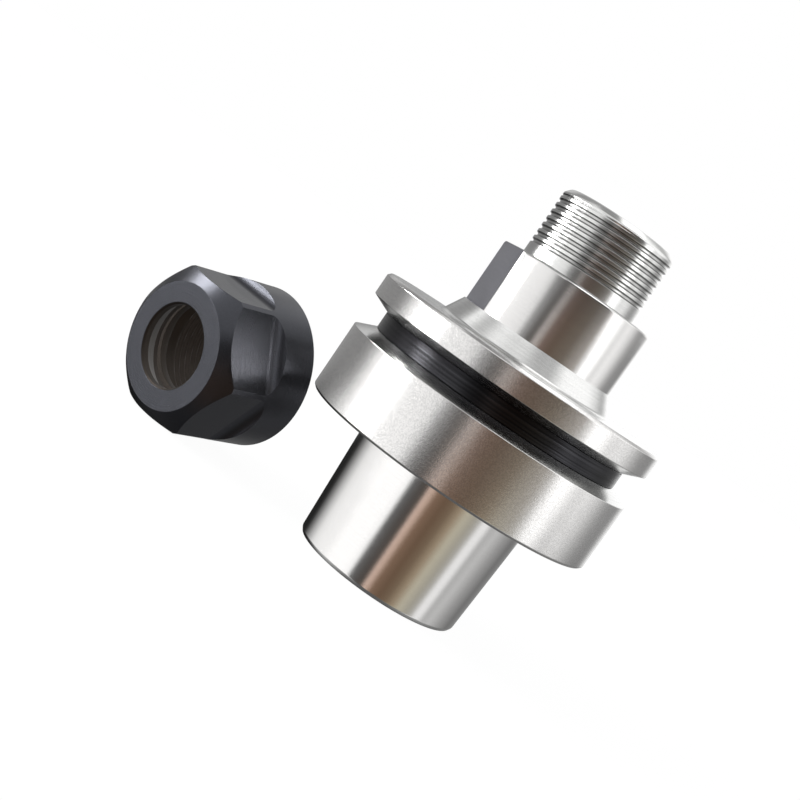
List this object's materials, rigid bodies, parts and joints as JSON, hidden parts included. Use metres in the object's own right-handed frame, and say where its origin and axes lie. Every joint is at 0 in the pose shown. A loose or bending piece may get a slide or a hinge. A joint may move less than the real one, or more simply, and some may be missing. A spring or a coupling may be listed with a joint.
{
  "type": "collet chuck holder",
  "caption": "Spindle tool holder with a short hollow taper shank, grooved flange and threaded nose for a collet, with its hexagonal clamping nut off.",
  "frame": {"origin": "on the axis of the holder, in the plane of the gauge face that seats against the spindle", "axes": "+Z runs along the axis of the holder from the shank to the threaded nose; +X and +Y are square to it, with the nut beside the shank at -X"},
  "size_m": [0.1023, 0.063, 0.0836],
  "materials": {
    "ground_steel": "ground and polished hardened steel, blackened in the groove",
    "black_oxide_steel": "satin black oxide, bright where it is ground inside"
  },
  "bodies": {
    "root": {"holder_body": "ground_steel", "clamping_nut": "black_oxide_steel"}
  },
  "joints": []
}
